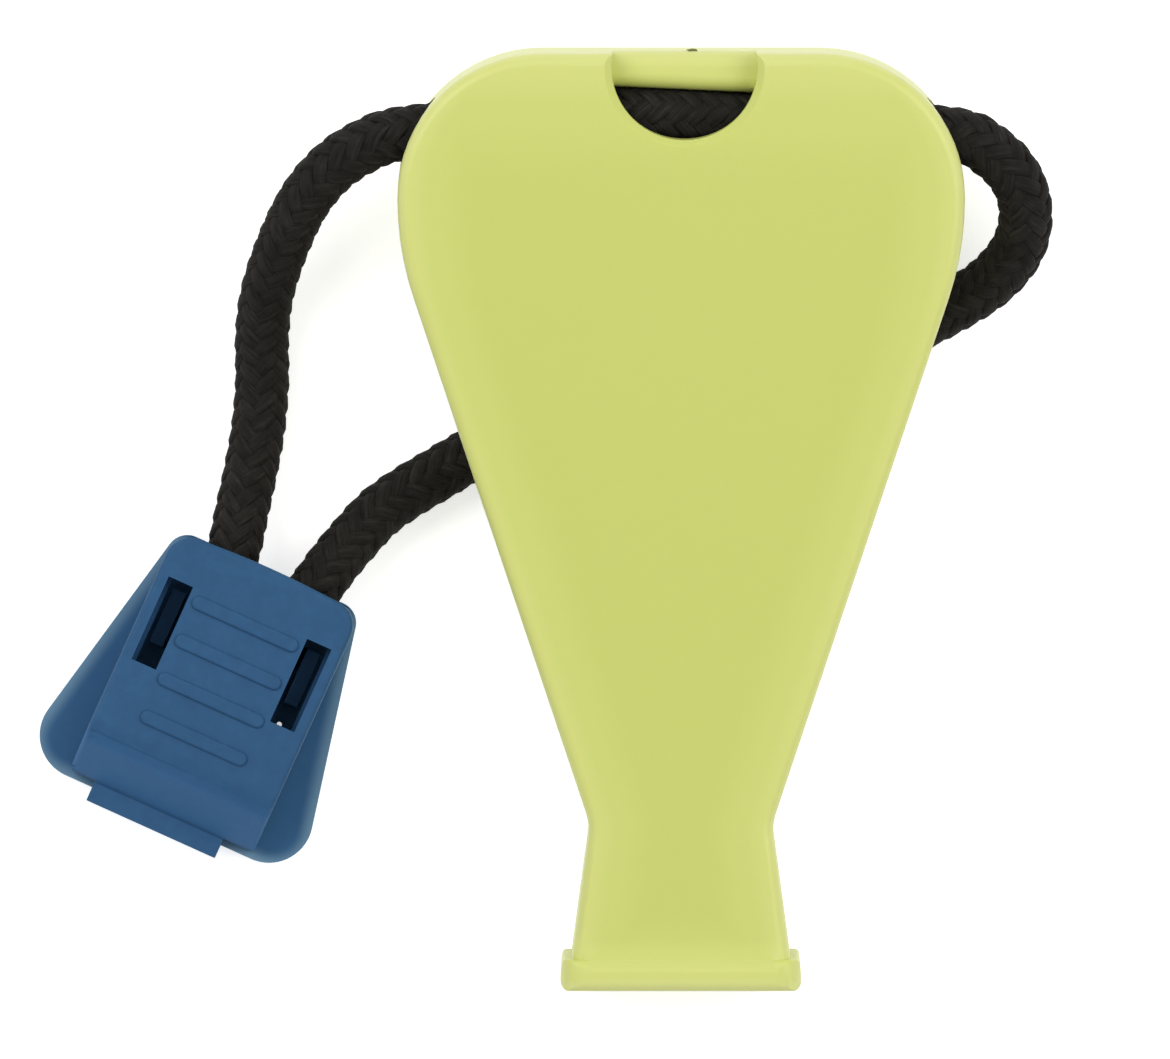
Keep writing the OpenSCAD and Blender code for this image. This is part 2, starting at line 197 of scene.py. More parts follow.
cordFacts = {
    "diameter": 0.004,     # m
    "lead": 12.0,          # mm along the cord for one turn of a yarn
    "strands": 8,          # yarns in each direction
    "ringRadius": 1.64,    # mm from the middle of the cord to the middle of a yarn
    "weaveDepth": 0.16,    # mm that a yarn rises and sinks
    "yarnWidth": 1.2,
    "yarnThickness": 0.58,
    "samples": 620,
    "coreRadius": 1.6,
    "coreSamples": 140,
    "yarnColours": ("#0B0A09", "#35322E", "#12100E"),   # between the filaments, on them, and in patches
    "coreColours": ("#11100F", "#1C1917"),
    "streakLength": 1.54,  # mm
    "streaksRound": 13.0,  # round a yarn
    "streakShift": 3.7,    # from one yarn to the next, so that no two are alike
}

# the braid's inputs: name, kind and the fact that sets it
cordInputs = [
    ("Lead", "Float", "lead"), ("Strands", "Int", "strands"), ("Ring Radius", "Float", "ringRadius"),
    ("Weave Depth", "Float", "weaveDepth"), ("Yarn Width", "Float", "yarnWidth"),
    ("Yarn Thickness", "Float", "yarnThickness"), ("Samples", "Int", "samples"),
    ("Core Radius", "Float", "coreRadius"), ("Core Samples", "Int", "coreSamples"),
]

# the route's points, in mm, from one end inside the clip to the other
route = [
    (-38.3, -14.3, 3.6), (-36.0, -9.3, 3.6), (-34.6, -5.6, 3.6), (-33.6, -2.3, 3.6),
    (-33.0, 0.6, 3.1), (-32.4, 3.4, 2.5), (-31.8, 6.8, 2.1), (-31.5, 10.3, 2.1),
    (-31.5, 13.8, 2.4), (-31.1, 17.0, 3.4), (-29.9, 20.6, 5.1), (-28.2, 24.0, 7.2),
    (-26.0, 26.5, 8.8), (-23.4, 28.1, 9.8), (-20.8, 28.9, 10.2), (-13.0, 29.7, 10.3),
    (-5.0, 30.3, 10.3), (5.0, 29.9, 10.3), (13.0, 29.4, 10.3), (20.6, 28.8, 10.2),
    (22.9, 27.8, 9.9), (24.7, 26.2, 9.3), (25.7, 24.2, 8.3), (25.8, 21.9, 7.0),
    (25.0, 19.8, 5.6), (23.2, 17.8, 4.2), (20.6, 16.1, 3.1), (16.7, 14.1, 2.3),
    (12.5, 12.3, 2.1), (8.0, 10.9, 2.1), (3.0, 10.0, 2.1), (-2.0, 9.2, 2.1),
    (-7.0, 8.2, 2.1), (-11.5, 6.8, 2.1), (-15.8, 4.8, 2.0), (-18.4, 3.3, 2.1),
    (-20.6, 2.0, 2.1), (-22.7, 0.5, 2.1), (-24.4, -1.3, 2.4), (-26.0, -3.2, 3.0),
    (-27.4, -5.1, 3.6), (-29.6, -7.8, 3.6), (-31.5, -11.3, 3.6), (-33.8, -16.3, 3.6),
]


def smoothLine(points, between=6):
    # a Catmull-Rom line through the points
    places = [Vector(p) for p in points]
    places = [2 * places[0] - places[1]] + places + [2 * places[-1] - places[-2]]
    line = []
    for i in range(1, len(places) - 2):
        a, b, c, d = places[i - 1:i + 3]
        for k in range(between):
            t = k / between
            place = 2 * b + (c - a) * t
            place = place + (2 * a - 5 * b + 4 * c - d) * t ** 2
            place = place + (3 * b - a - 3 * c + d) * t ** 3
            line.append(0.5 * place)
    line.append(places[-2])
    return line


def curveFrom(name, points):
    curve = bpy.data.curves.new(name, "CURVE")
    curve.dimensions = "3D"
    spline = curve.splines.new("POLY")
    spline.points.add(len(points) - 1)
    for place, point in zip(points, spline.points):
        point.co = (*place, 1)
    return addObject(name, curve)


def makeYarnMaterial():
    # Nylon yarn, dyed black and braided: dull and fibrous, a little warm, with a faint sheen on the crests
    material, tree = newMaterial("braidedNylonYarn")
    between, filament, patch = (linearOf(colour) for colour in cordFacts["yarnColours"])
    place = addNode(tree, "ShaderNodeAttribute", {"attribute_name": "yarnPlace"})
    # filaments are 0.02 mm: drawn about 0.2 mm wide so that they show
    scale = (perMetre(cordFacts["streakLength"]), cordFacts["streaksRound"], cordFacts["streakShift"])
    stretch = addNode(tree, "ShaderNodeMapping", None, {"Vector": (place, "Vector"), "Scale": scale})
    filaments = addNode(tree, "ShaderNodeTexNoise", {"noise_dimensions": "3D"},
                        {"Vector": stretch, "Scale": 1.0, "Detail": 4.0, "Roughness": 0.7})
    coords = addNode(tree, "ShaderNodeTexCoord")
    patches = addNode(tree, "ShaderNodeTexNoise", None,
                      {"Vector": (coords, "Object"), "Scale": perMetre(1.923), "Detail": 3.0, "Roughness": 0.6})
    spread = addNode(tree, "ShaderNodeMapRange", None,
                     {"Value": filaments, "From Min": 0.34, "From Max": 0.7})
    tone = addNode(tree, "ShaderNodeMix", {"data_type": "RGBA"}, {0: spread, 6: between, 7: filament})
    shade = addNode(tree, "ShaderNodeMapRange", None,
                    {"Value": patches, "From Min": 0.35, "From Max": 0.65, "To Max": 0.6})
    warmth = addNode(tree, "ShaderNodeMix", {"data_type": "RGBA"}, {0: shade, 6: (tone, 2), 7: patch})
    bump = addNode(tree, "ShaderNodeBump", None, {"Strength": 0.8, "Distance": 0.00012, "Height": filaments})
    yarn = addNode(tree, "ShaderNodeBsdfPrincipled", None, {
        "Base Color": (warmth, 2), "Roughness": 0.75, "IOR": 1.45, "Specular IOR Level": 0.16, "Normal": bump})
    addNode(tree, "ShaderNodeOutputMaterial", None, {"Surface": yarn})
    return material


def makeCoreMaterial():
    # Nylon core, seen only between the yarns: matt black
    material, tree = newMaterial("nylonCore")
    dark, pale = (linearOf(colour) for colour in cordFacts["coreColours"])
    coords = addNode(tree, "ShaderNodeTexCoord")
    fuzz = addNode(tree, "ShaderNodeTexNoise", None, {"Vector": (coords, "Object"), "Scale": perMetre(0.4)})
    tone = addNode(tree, "ShaderNodeMix", {"data_type": "RGBA"}, {0: fuzz, 6: dark, 7: pale})
    core = addNode(tree, "ShaderNodeBsdfPrincipled", None, {"Base Color": (tone, 2), "Roughness": 0.9})
    addNode(tree, "ShaderNodeOutputMaterial", None, {"Surface": core})
    return material


# how a yarn winds: each row is a name, what is done, and with which names or numbers
yarnWay = [
    ("way", "MULTIPLY", "along", "total"),
    ("turns", "DIVIDE", "way", "Lead"),
    ("rightward", "LESS_THAN", "index", "Strands"),       # 1 for the yarns that turn to the right
    ("side", "MULTIPLY_ADD", "rightward", 2.0, -1.0),
    ("number", "MODULO", "index", "Strands"),
    ("sideTurns", "MULTIPLY", "side", "turns"),
    ("start", "DIVIDE", "number", "Strands"),
    ("turned", "ADD", "sideTurns", "start"),
    ("angle", "MULTIPLY", "turned", math.tau),
    # two over, two under
    ("met", "MULTIPLY", "turns", "Strands"),
    ("metTwice", "MULTIPLY", "met", 2.0),
    ("crossing", "MULTIPLY", "side", "metTwice"),
    ("step", "MULTIPLY_ADD", "number", 2.0, "crossing"),
    ("phase", "MULTIPLY_ADD", "step", math.pi / 2, -math.pi / 4),
    ("wave", "COSINE", "phase"),
    ("rise", "MULTIPLY", "side", "wave"),
    ("steepened", "MULTIPLY", "rise", 1.35),
    ("capped", "MINIMUM", "steepened", 1.0),
    ("flattened", "MAXIMUM", "capped", -1.0),
    ("radius", "MULTIPLY_ADD", "flattened", "Weave Depth", "Ring Radius"),
    ("across", "COSINE", "angle"),
    ("up", "SINE", "angle"),
]


def yarnPlaces(tree, sizes, yarns):
    # the lines of the yarns, laid on the route, and what is kept of each point
    along = addNode(tree, "GeometryNodeSplineParameter")
    total = addNode(tree, "GeometryNodeCurveLength", None, {"Curve": sizes["Route"]})
    made = {**sizes, "along": (along, "Factor"), "total": total, "index": (yarns, 1)}
    for name, operation, *terms in yarnWay:
        links = {i: made.get(term, term) for i, term in enumerate(terms)}
        made[name] = addNode(tree, "ShaderNodeMath", {"operation": operation}, links)

    frameAt = addNode(tree, "GeometryNodeSampleCurve", {"mode": "FACTOR"},
                      {"Curves": sizes["Route"], "Factor": made["along"]})
    third = addNode(tree, "ShaderNodeVectorMath", {"operation": "CROSS_PRODUCT"},
                    {0: (frameAt, "Tangent"), 1: (frameAt, "Normal")})
    sideways = addNode(tree, "ShaderNodeVectorMath", {"operation": "SCALE"},
                       {0: (frameAt, "Normal"), "Scale": made["across"]})
    upwards = addNode(tree, "ShaderNodeVectorMath", {"operation": "SCALE"}, {0: third, "Scale": made["up"]})
    outward = addNode(tree, "ShaderNodeVectorMath", {"operation": "ADD"}, {0: sideways, 1: upwards})
    offset = addNode(tree, "ShaderNodeVectorMath", {"operation": "SCALE"},
                     {0: outward, "Scale": made["radius"]})
    spot = addNode(tree, "ShaderNodeVectorMath", {"operation": "ADD"}, {0: (frameAt, "Position"), 1: offset})

    kept = addNode(tree, "GeometryNodeCaptureAttribute", {"domain": "POINT"}, {"Geometry": yarns})
    marks = [("Outward", "VECTOR", (outward, 0)), ("Spot", "VECTOR", (spot, 0)),
             ("Way", "FLOAT", (made["way"], 0)), ("Number", "FLOAT", made["index"])]
    for name, kind, source in marks:
        kept.capture_items.new(kind, name)
    for name, kind, source in marks:
        tree.links.new(source[0].outputs[source[1]], kept.inputs[name])
    placed = addNode(tree, "GeometryNodeSetPosition", None, {"Geometry": kept, "Position": (kept, "Spot")})
    lines = addNode(tree, "GeometryNodeSetCurveNormal", {"mode": "FREE"},
                    {"Curve": placed, "Normal": (kept, "Outward")})
    return lines, kept


def braidTree(yarn, core):
    tree = bpy.data.node_groups.new("braidedCord", "GeometryNodeTree")
    sockets = {}
    tree.interface.new_socket("Route", in_out="INPUT", socket_type="NodeSocketGeometry")
    for name, kind, fact in cordInputs:
        socket = tree.interface.new_socket(name, in_out="INPUT", socket_type="NodeSocket" + kind)
        sockets[name] = socket.identifier
    tree.interface.new_socket("Cord", in_out="OUTPUT", socket_type="NodeSocketGeometry")
    start = addNode(tree, "NodeGroupInput")
    sizes = {name: (start, name) for name in ["Route", *sockets]}

    # one straight line for each yarn, then laid on the route
    line = addNode(tree, "GeometryNodeCurvePrimitiveLine")
    fine = addNode(tree, "GeometryNodeResampleCurve", None, {"Curve": line, "Count": sizes["Samples"]})
    twice = addNode(tree, "ShaderNodeMath", {"operation": "MULTIPLY"}, {0: sizes["Strands"], 1: 2.0})
    yarns = addNode(tree, "GeometryNodeDuplicateElements", {"domain": "SPLINE"},
                    {"Geometry": fine, "Amount": twice})
    lines, kept = yarnPlaces(tree, sizes, yarns)

    # flat oval yarn section
    ring = addNode(tree, "GeometryNodeCurvePrimitiveCircle", None, {"Resolution": 8, "Radius": 0.5})
    ringMark = addNode(tree, "GeometryNodeCaptureAttribute", {"domain": "POINT"}, {"Geometry": ring})
    ringMark.capture_items.new("FLOAT", "Round")
    tree.links.new(addNode(tree, "GeometryNodeSplineParameter").outputs["Factor"], ringMark.inputs["Round"])
    section = addNode(tree, "ShaderNodeCombineXYZ", None,
                      {0: sizes["Yarn Thickness"], 1: sizes["Yarn Width"], 2: 1.0})
    oval = addNode(tree, "GeometryNodeTransform", None, {"Geometry": ringMark, "Scale": section})
    tubes = addNode(tree, "GeometryNodeCurveToMesh", None,
                    {"Curve": lines, "Profile Curve": oval, "Fill Caps": True})
    place = addNode(tree, "ShaderNodeCombineXYZ", None,
                    {0: (kept, "Way"), 1: (ringMark, "Round"), 2: (kept, "Number")})
    marked = addNode(tree, "GeometryNodeStoreNamedAttribute",
                     {"data_type": "FLOAT_VECTOR", "domain": "POINT"},
                     {"Geometry": tubes, "Name": "yarnPlace", "Value": place})
    dyed = addNode(tree, "GeometryNodeSetMaterial", None, {"Geometry": marked, "Material": yarn})

    # the core
    coarse = addNode(tree, "GeometryNodeResampleCurve", None,
                     {"Curve": sizes["Route"], "Count": sizes["Core Samples"]})
    disc = addNode(tree, "GeometryNodeCurvePrimitiveCircle", None,
                   {"Resolution": 12, "Radius": sizes["Core Radius"]})
    middle = addNode(tree, "GeometryNodeCurveToMesh", None,
                     {"Curve": coarse, "Profile Curve": disc, "Fill Caps": True})
    dark = addNode(tree, "GeometryNodeSetMaterial", None, {"Geometry": middle, "Material": core})

    both = addNode(tree, "GeometryNodeJoinGeometry")
    for part in (dark, dyed):
        tree.links.new(part.outputs[0], both.inputs[0])
    smooth = addNode(tree, "GeometryNodeSetShadeSmooth", None, {"Geometry": both})
    real = addNode(tree, "GeometryNodeRealizeInstances", None, {"Geometry": smooth})
    addNode(tree, "NodeGroupOutput", None, {0: real})
    return tree, sockets


def makeCord():
    line = smoothLine([Vector(p) * mm for p in route])
    guide = curveFrom("cordRoute", line)
    tree, sockets = braidTree(makeYarnMaterial(), makeCoreMaterial())
    braid = guide.modifiers.new("braid", "NODES")
    braid.node_group = tree
    for name, kind, fact in cordInputs:
        braid[sockets[name]] = cordFacts[fact] * (mm if kind == "Float" else 1)
    mesh = plainMesh(guide, "braidedCord")
    bpy.data.objects.remove(guide)
    cord = addObject("braidedCord", mesh)
    length = sum((b - a).length for a, b in zip(line, line[1:]))
    print("cord", round(length * 1000, 1), "mm,", len(mesh.polygons), "faces")
    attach(cord, "whistle")
    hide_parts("cord")
    return cord, line, length


cord, cordLine, cordLength = makeCord()
print("cord braided")


# The whistle's plastic

whistle = {
    "length": 70.5,        # mm
    "width": 42.5,
    "split": 4.5,          # height of the parting plane over the back of the bead
    "tilt": 5.13,          # degrees, the head being propped on the cord
    "placeY": -34.706,
    "outline": [(0, 9.0), (2.4, 9.0), (3, 8.2), (12.5, 7.0), (20, 9.5), (30, 12.9), (40, 16.3), (47, 18.7),
                (52, 20.3), (56, 21.0), (60, 21.25), (63, 20.8), (66, 19.3), (68.5, 16.9), (69.8, 14.0),
                (70.5, 10.5)],                                               # y, half width
    # painted light: the edge colours, paler towards the outline, by mm from the edge
    "edgeLightTones": [(0.0, "#DADE8A"), (0.8, "#D6DB7C"), (2.4, "#D0D773"), (6.0, "#CAD26C")],   # mm from the edge
    "cloudTone": "#DDE48A",
    "headShare": 0.6,      # how fast the paler edge fades in from the head, against the sides
    "mouthStart": 0.4,     # mm from the mouth end to where it starts
}


def edgeDistance(tree):
    # how far in from the whistle's outline a point lies, in mm: the whistle is painted paler near its edges,
    # painted light for the white surroundings' light showing through the milky plastic
    coords = addNode(tree, "ShaderNodeTexCoord")
    local = addNode(tree, "ShaderNodeMapping", {"vector_type": "TEXTURE"}, {
        "Vector": (coords, "Object"), "Location": (0, whistle["placeY"] * mm, 0),
        "Rotation": (math.radians(whistle["tilt"]), 0, 0)})
    axes = addNode(tree, "ShaderNodeSeparateXYZ", None, {0: local})
    along = addNode(tree, "ShaderNodeMath", {"operation": "MULTIPLY"},
                    {0: (axes, 1), 1: 1000 / whistle["length"]})
    half = addNode(tree, "ShaderNodeFloatCurve", None, {"Value": along})
    curve = half.mapping.curves[0]
    last = len(whistle["outline"]) - 1
    for i, (y, x) in enumerate(whistle["outline"]):
        place = (y / whistle["length"], 2 * x / whistle["width"])
        if i in (0, last):
            curve.points[0 if i == 0 else -1].location = place
        else:
            curve.points.new(*place)
    for point in curve.points:
        point.handle_type = "VECTOR"
    half.mapping.update()
    aside = addNode(tree, "ShaderNodeMath", {"operation": "ABSOLUTE"}, {0: axes})
    reach = addNode(tree, "ShaderNodeMath", {"operation": "MULTIPLY"}, {0: half, 1: whistle["width"] / 2})
    side = addNode(tree, "ShaderNodeMath", {"operation": "MULTIPLY_ADD"}, {0: aside, 1: -1000.0, 2: reach})
    head = addNode(tree, "ShaderNodeMath", {"operation": "MULTIPLY_ADD"},
                   {0: (axes, 1), 1: -1000 * whistle["headShare"], 2: whistle["headShare"] * whistle["length"]})
    mouth = addNode(tree, "ShaderNodeMath", {"operation": "MULTIPLY_ADD"},
                    {0: (axes, 1), 1: 1000.0, 2: -whistle["mouthStart"]})
    ends = addNode(tree, "ShaderNodeMath", {"operation": "MINIMUM"}, {0: head, 1: mouth})
    return addNode(tree, "ShaderNodeMath", {"operation": "MINIMUM"}, {0: side, 1: ends})


def makeWhistleMaterial():
    # ABS, injection moulded: satin and slightly milky, with a fine mould grain
    material, tree = newMaterial("mouldedAbsLime")
    coords = addNode(tree, "ShaderNodeTexCoord")
    # painted light: the colour runs from the painted pale edge in to the plain lime
    inner = whistle["edgeLightTones"][-1][0]
    share = addNode(tree, "ShaderNodeMapRange", None, {"Value": edgeDistance(tree), "From Max": inner})
    edge = addNode(tree, "ShaderNodeValToRGB", None, {0: share})
    edge.color_ramp.interpolation = "EASE"
    stops = edge.color_ramp.elements
    for distance, colour in whistle["edgeLightTones"]:
        stop = stops[0] if distance == 0 else stops[-1] if distance == inner else stops.new(distance / inner)
        stop.color = linearOf(colour)
    flow = addNode(tree, "ShaderNodeTexNoise", None,
                   {"Vector": (coords, "Object"), "Scale": perMetre(35.7), "Detail": 2.0})
    clouds = addNode(tree, "ShaderNodeMapRange", None, {"Value": flow, "To Max": 0.14})
    tone = addNode(tree, "ShaderNodeMix", {"data_type": "RGBA"},
                   {0: clouds, 6: edge, 7: linearOf(whistle["cloudTone"])})
    # mould grain is 0.03 mm: drawn 0.25 mm wide so that it shows
    grain = addNode(tree, "ShaderNodeTexNoise", None,
                    {"Vector": (coords, "Object"), "Scale": perMetre(0.25), "Detail": 2.0})
    bump = addNode(tree, "ShaderNodeBump", None, {"Strength": 0.05, "Distance": 0.00005, "Height": grain})
    satin = addNode(tree, "ShaderNodeMapRange", None, {"Value": grain, "To Min": 0.36, "To Max": 0.46})
    shell = addNode(tree, "ShaderNodeBsdfPrincipled", None, {
        "Base Color": (tone, 2), "Roughness": satin, "IOR": 1.53, "Subsurface Weight": 0.18,
        "Subsurface Radius": (1.0, 0.9, 0.35), "Subsurface Scale": 0.0012, "Normal": bump})
    addNode(tree, "ShaderNodeOutputMaterial", None, {"Surface": shell})
    return material


# The clip's plastic, and the film hinge: the thin strip moulded between the base's hinge edge and the lid's

clip = {
    "tones": ("#295177", "#325C84"),
    # painted light: a paler plate, paler lid sides and a pale painted highlight round the plate's rim
    "plateLitTone": "#386690",
    "wallLitTone": "#3C70A4",
    "rimHighlightTone": "#7397B0",
    "rimWidth": 1.2,       # mm
    "corner": 3.3,         # mm, the plate's corner radius
    "lean": (0.978, 0.2085),   # of the plate's sides, as cosine and sine
    "reach": 11.71,        # mm from the middle square to a side
    "low": 1.05,           # mm, the plate's edge at the hinge
    "middle": -0.05,
    "plateTop": (0.0014, 0.0019),   # m, heights over which the plate's tone ends
    "wallFoot": (0.0027, 0.0031),   # the side walls' tone starts
    "wallTop": (0.0066, 0.0073),    # and ends
}

film = {
    "at": (-0.03972, -0.02343),   # m, the middle of the clip's hinge edge
    "turn": 24.3,                 # degrees
    "middle": -0.2,               # mm
    "width": 10.3,
    "low": 0.9,
    "high": 1.8,
    "thickness": 0.22,
    "waist": 0.06,                # mm that it is thinned at mid height
    "steps": 6,
    "bendY": 0.1,
    "bend": (1.15, 1.6),          # mm, from where to where it follows the lid
}


def clipPlace(x, y, z):
    # clip millimetres to the shared frame
    turn = math.radians(film["turn"])
    return Vector((film["at"][0] + mm * (x * math.cos(turn) + y * math.sin(turn)),
                   film["at"][1] + mm * (y * math.cos(turn) - x * math.sin(turn)), mm * z))


def rimDistance(tree):
    # how far in from the base plate's outline a point lies, in mm
    corner = clip["corner"]
    coords = addNode(tree, "ShaderNodeTexCoord")
    local = addNode(tree, "ShaderNodeMapping", {"vector_type": "TEXTURE"}, {
        "Vector": (coords, "Object"), "Location": (*film["at"], 0),
        "Rotation": (0, 0, -math.radians(film["turn"])), "Scale": (mm, mm, mm)})
    axes = addNode(tree, "ShaderNodeSeparateXYZ", None, {0: local})
    centred = addNode(tree, "ShaderNodeMath", {"operation": "ADD"}, {0: axes, 1: -clip["middle"]})
    aside = addNode(tree, "ShaderNodeMath", {"operation": "ABSOLUTE"}, {0: centred})
    wide = addNode(tree, "ShaderNodeMath", {"operation": "MULTIPLY_ADD"},
                   {0: aside, 1: clip["lean"][0], 2: corner - clip["reach"]})
    near = addNode(tree, "ShaderNodeMath", {"operation": "MULTIPLY_ADD"},
                   {0: (axes, 1), 1: clip["lean"][1], 2: wide})
    low = addNode(tree, "ShaderNodeMath", {"operation": "MULTIPLY_ADD"},
                  {0: (axes, 1), 1: -1.0, 2: corner + clip["low"]})
    pair = [addNode(tree, "ShaderNodeMath", {"operation": "MAXIMUM"},
                    {0: part, 1: 0.0}) for part in (near, low)]
    square = addNode(tree, "ShaderNodeCombineXYZ", None, {0: pair[0], 1: pair[1]})
    length = addNode(tree, "ShaderNodeVectorMath", {"operation": "LENGTH"}, {0: square})
    return addNode(tree, "ShaderNodeMath", {"operation": "SUBTRACT"}, {0: corner, 1: (length, "Value")})


def makeClipMaterial():
    # Acetal, injection moulded: satin blue with a slight waxy gloss
    material, tree = newMaterial("mouldedAcetalBlue")
    deep, pale = (linearOf(colour) for colour in clip["tones"])
    coords = addNode(tree, "ShaderNodeTexCoord")
    flow = addNode(tree, "ShaderNodeTexNoise", None,
                   {"Vector": (coords, "Object"), "Scale": perMetre(11.11), "Detail": 2.0})
    mottle = addNode(tree, "ShaderNodeTexNoise", None,
                     {"Vector": (coords, "Object"), "Scale": perMetre(1.111), "Detail": 3.0, "Roughness": 0.6})
    tone = addNode(tree, "ShaderNodeMix", {"data_type": "RGBA"}, {0: flow, 6: deep, 7: pale})
    speckled = addNode(tree, "ShaderNodeMix", {"data_type": "RGBA", "blend_type": "SOFT_LIGHT"},
                       {0: 0.22, 6: (tone, 2), 7: mottle})

    # painted light: the base plate is painted paler to lift the shade on it, with a pale painted highlight
    # round its rim, and the lid's sides and sloping end are painted a little paler, as light falls on them
    axes = addNode(tree, "ShaderNodeSeparateXYZ", None, {0: (coords, "Object")})
    thin, wall, thick = (
        addNode(tree, "ShaderNodeMapRange", None,
                {"Value": (axes, 2), "From Min": clip[span][0], "From Max": clip[span][1],
                 "To Min": low, "To Max": high})
        for span, low, high in [("plateTop", 1.0, 0.0), ("wallTop", 0.5, 0.0), ("wallFoot", 0.0, 1.0)])
    plate = addNode(tree, "ShaderNodeMath", {"operation": "MULTIPLY"}, {0: thin, 1: 0.6})
    walls = addNode(tree, "ShaderNodeMath", {"operation": "MULTIPLY"}, {0: wall, 1: thick})
    rim = addNode(tree, "ShaderNodeMapRange", {"interpolation_type": "SMOOTHSTEP"},
                  {"Value": rimDistance(tree), "From Min": 0.0, "From Max": clip["rimWidth"],
                   "To Min": 0.85, "To Max": 0.0})
    rimHighlight = addNode(tree, "ShaderNodeMath", {"operation": "MULTIPLY"}, {0: rim, 1: thin})
    paintedLitTone = speckled
    # painted light and painted highlight, mixed in by height and by distance from the plate's rim
    for share, colour in [(plate, "plateLitTone"), (walls, "wallLitTone"), (rimHighlight, "rimHighlightTone")]:
        paintedLitTone = addNode(tree, "ShaderNodeMix", {"data_type": "RGBA"},
                        {0: share, 6: (paintedLitTone, 2), 7: linearOf(clip[colour])})

    # mould grain is 0.03 mm: drawn 0.2 mm wide so that it shows
    grain = addNode(tree, "ShaderNodeTexNoise", None,
                    {"Vector": (coords, "Object"), "Scale": perMetre(0.2), "Detail": 2.0})
    bump = addNode(tree, "ShaderNodeBump", None, {"Strength": 0.08, "Distance": 0.00005, "Height": grain})
    satin = addNode(tree, "ShaderNodeMapRange", None, {"Value": grain, "To Min": 0.55, "To Max": 0.66})
    shell = addNode(tree, "ShaderNodeBsdfPrincipled", None, {
        "Base Color": (paintedLitTone, 2), "Roughness": satin, "IOR": 1.48, "Specular IOR Level": 0.2, "Normal": bump})
    addNode(tree, "ShaderNodeOutputMaterial", None, {"Surface": shell})
    return material


# The shells, base and lid: the CAD meshes with their edges broken and soft forms added

def whistlePlace(point):
    # shared frame to the whistle's own mm: x across, y from the mouth end, z from the back of the bead
    turn = math.radians(whistle["tilt"])
    x, y, z = point[0] * 1000, point[1] * 1000 - whistle["placeY"], point[2] * 1000
    return Vector((x, y * math.cos(turn) + z * math.sin(turn), z * math.cos(turn) - y * math.sin(turn)))


def fromWhistle(x, y, z):
    turn = math.radians(whistle["tilt"])
    return Vector((x, y * math.cos(turn) - z * math.sin(turn) + whistle["placeY"],
                   z * math.cos(turn) + y * math.sin(turn))) * mm


def clipLocal(point):
    # shared frame to clip millimetres
    turn = math.radians(film["turn"])
    x, y = (point[i] * 1000 - film["at"][i] * 1000 for i in (0, 1))
    return Vector((x * math.cos(turn) - y * math.sin(turn), x * math.sin(turn) + y * math.cos(turn),
                   point[2] * 1000))


bead = {
    "crest": 1.45,         # mm from the mouth end
    "foot": 3.9,           # where the ramp behind the crest ends
    "height": 0.5,
    "hollow": 1.7,         # the ramp's power: 1 would be straight
    "face": 4.0,           # from the parting plane to the whistle's faces
    "fade": 6.8,           # from the middle: the ramp dies away from here
    "half": 7.5,           # to here
    "shares": (0, 0.06, 0.14, 0.24, 0.36, 0.5, 0.66, 0.84, 1),   # cuts along the ramp
    "sides": (-7.4, -7.1, -6.8, 6.8, 7.1, 7.4),                  # cuts across it
    "end": 9,              # half width of the bead
    "endDraw": 0.75,       # how far its ends draw in
    "endSide": 8,          # the points that are moved lie past this
    "endFrom": 1.3,        # and from here
    "endTo": 3.3,          # to here
    "endRun": 1.75,
}


def nearBead(face, anyHeight):
    middle = whistlePlace(face.calc_center_median())
    outside = anyHeight or abs(middle.z - whistle["split"]) > bead["face"] - 0.6
    return outside and (middle.y < 9 or min(whistlePlace(v.co).y for v in face.verts) < bead["foot"])


def rampBead(work):
    # the faces rise in a soft hollow ramp to the crest of the mouth bead, and the bead's ends are rounded
    run = bead["foot"] - bead["crest"]
    cuts = [(Vector((0, bead["crest"] + run * share, 0)), Vector((0, 1, 0))) for share in bead["shares"]]
    cuts += [(Vector((x, 0, 0)), Vector((1, 0, 0))) for x in bead["sides"]]
    for place, normal in cuts:
        near = [f for f in work.faces if nearBead(f, normal.y)]
        edges = dict.fromkeys(e for f in near for e in f.edges)
        verts = dict.fromkeys(v for f in near for v in f.verts)
        at = fromWhistle(*place)
        away = (fromWhistle(*(place + normal)) - at).normalized()
        bmesh.ops.bisect_plane(work, geom=[*near, *edges, *verts], plane_co=at, plane_no=away, dist=1e-8)
    for vert in work.verts:
        place = whistlePlace(vert.co)
        if abs(place.x) > bead["endSide"] and bead["endFrom"] < place.y < bead["endTo"]:
            share = min(1, (place.y - bead["endFrom"]) / bead["endRun"])
            reach = bead["end"] - bead["endDraw"] * (1 - math.sqrt(1 - share ** 2))
            place.x = math.copysign(min(abs(place.x), reach), place.x)
            vert.co = fromWhistle(*place)
        now = abs(place.z - whistle["split"])
        if not (bead["crest"] - 0.01 < place.y < bead["foot"] and now > bead["face"] - 0.2):
            continue
        share = (place.y - bead["crest"]) / run
        wanted = bead["face"] + bead["height"] * (1 - share) ** bead["hollow"]
        keep = min(1, max(0, (abs(place.x) - bead["fade"]) / (bead["half"] - bead["fade"])))
        height = math.copysign(wanted * (1 - keep) + now * keep, place.z - whistle["split"])
        vert.co = fromWhistle(place.x, place.y, whistle["split"] + height)


lidForm = {
    "y": 4.8,              # mm, where the sloping end meets the top, before rounding
    "top": 7.4,
    "slope": 1.4536,
    "radius": 3.0,         # of the rounded crease
    "from": 3.9,
    "to": 6.37,
    "cuts": 14,
    "rimLow": 1.9,         # the rim's edges lie past these
    "rimSide": 7.15,
    "rimEnd": 18.9,
    "rimEdge": 0.4,
    "ribTop": 7.65,
    "ribEdge": 0.2,
}


